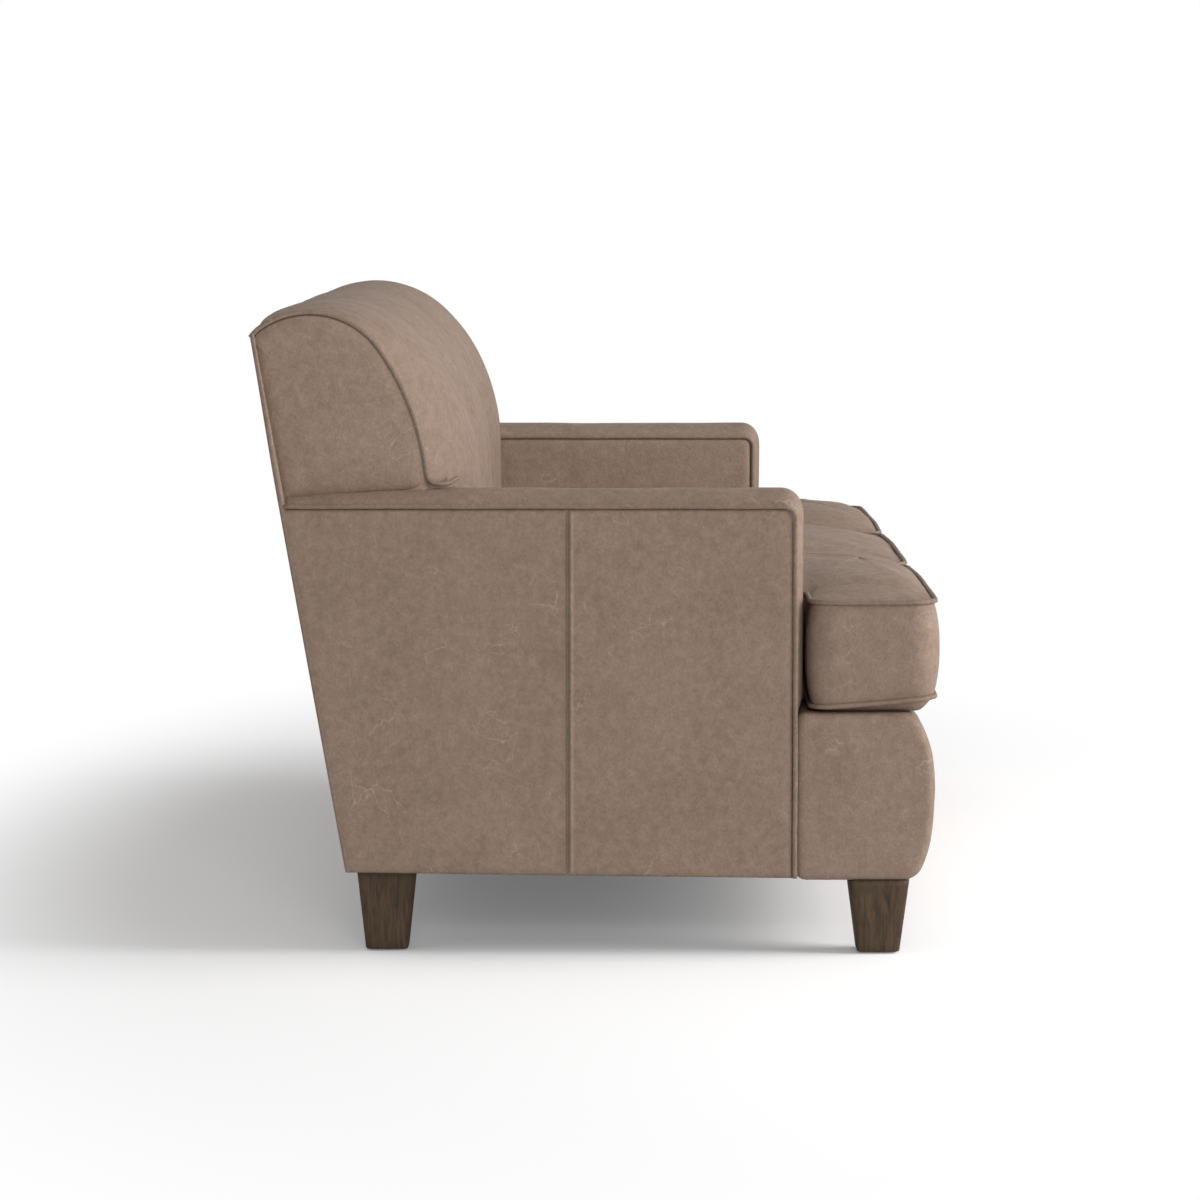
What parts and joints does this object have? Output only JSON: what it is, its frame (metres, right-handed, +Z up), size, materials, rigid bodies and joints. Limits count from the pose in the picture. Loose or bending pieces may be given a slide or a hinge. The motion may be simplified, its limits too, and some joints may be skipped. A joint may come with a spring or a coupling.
{
  "type": "leather sofa",
  "caption": "Leather sofa with a tight rounded back, padded track arms, a bowed front border, loose box seat cushions that wrap the arms, and tapered wooden legs.",
  "frame": {"origin": "on the floor, under the middle of the sofa's width and depth", "axes": "+Z up, +X along the sofa's width, the front faces -Y"},
  "size_m": [2.006, 0.967, 0.9111],
  "materials": {
    "leather": "matte, fine grain, mottled taupe",
    "leather_welt": "matte, wrapped over cord",
    "leg_wood": "dark walnut stain, satin lacquer",
    "frame_wood": "sawn, unfinished",
    "spring_steel": "drawn wire, oiled",
    "steel": "zinc plated",
    "webbing": "woven strap",
    "deck_cloth": "plain woven platform cloth over padding",
    "dust_cloth": "spun-bonded cloth",
    "foam": "cut foam",
    "glide": "moulded nylon",
    "zip": "coil zip on woven tape"
  },
  "bodies": {
    "frame": {"arm_band_left": "leather", "arm_band_right": "leather", "arm_post_left": "frame_wood", "arm_post_right": "frame_wood", "arm_rail_left": "frame_wood", "arm_rail_right": "frame_wood", "arm_welts_left": "leather_welt", "arm_welts_right": "leather_welt", "back_end_left": "leather", "back_end_right": "leather", "back_end_welt_left": "leather_welt", "back_end_welt_right": "leather_welt", "back_lower_rail": "frame_wood", "back_post_left": "frame_wood", "back_post_right": "frame_wood", "back_section_left": "leather", "back_section_middle": "leather", "back_section_right": "leather", "back_stiles": "frame_wood", "back_top_rail": "frame_wood", "back_webbing": "webbing", "dust_cover": "dust_cloth", "front_border": "leather", "front_rail": "frame_wood", "inside_arm_left": "leather", "inside_arm_right": "leather", "leg_blocks": "frame_wood", "leg_bolts": "steel", "leg_front_left": "leg_wood", "leg_front_right": "leg_wood", "leg_glides": "glide", "leg_rear_left": "leg_wood", "leg_rear_right": "leg_wood", "outside_arm_left": "leather", "outside_arm_right": "leather", "outside_back": "leather", "rear_rail": "frame_wood", "seat_deck": "deck_cloth", "seat_springs": "spring_steel", "seat_stretchers": "frame_wood", "side_rail_left": "frame_wood", "side_rail_right": "frame_wood", "spring_clips": "steel", "spring_rail": "frame_wood"},
    "cushion_left": {"seat_core_left": "foam", "seat_cover_left": "leather", "seat_welts_left": "leather_welt", "seat_zip_left": "zip"},
    "cushion_middle": {"seat_core_middle": "foam", "seat_cover_middle": "leather", "seat_welts_middle": "leather_welt", "seat_zip_middle": "zip"},
    "cushion_right": {"seat_core_right": "foam", "seat_cover_right": "leather", "seat_welts_right": "leather_welt", "seat_zip_right": "zip"}
  },
  "joints": [
    {"name": "cushion_left_lift", "type": "slide", "parent": "frame", "child": "cushion_left", "axis": [0, 0, 1], "range_m": [0, 0.33]},
    {"name": "cushion_middle_lift", "type": "slide", "parent": "frame", "child": "cushion_middle", "axis": [0, 0, 1], "range_m": [0, 0.33]},
    {"name": "cushion_right_lift", "type": "slide", "parent": "frame", "child": "cushion_right", "axis": [0, 0, 1], "range_m": [0, 0.33]}
  ]
}
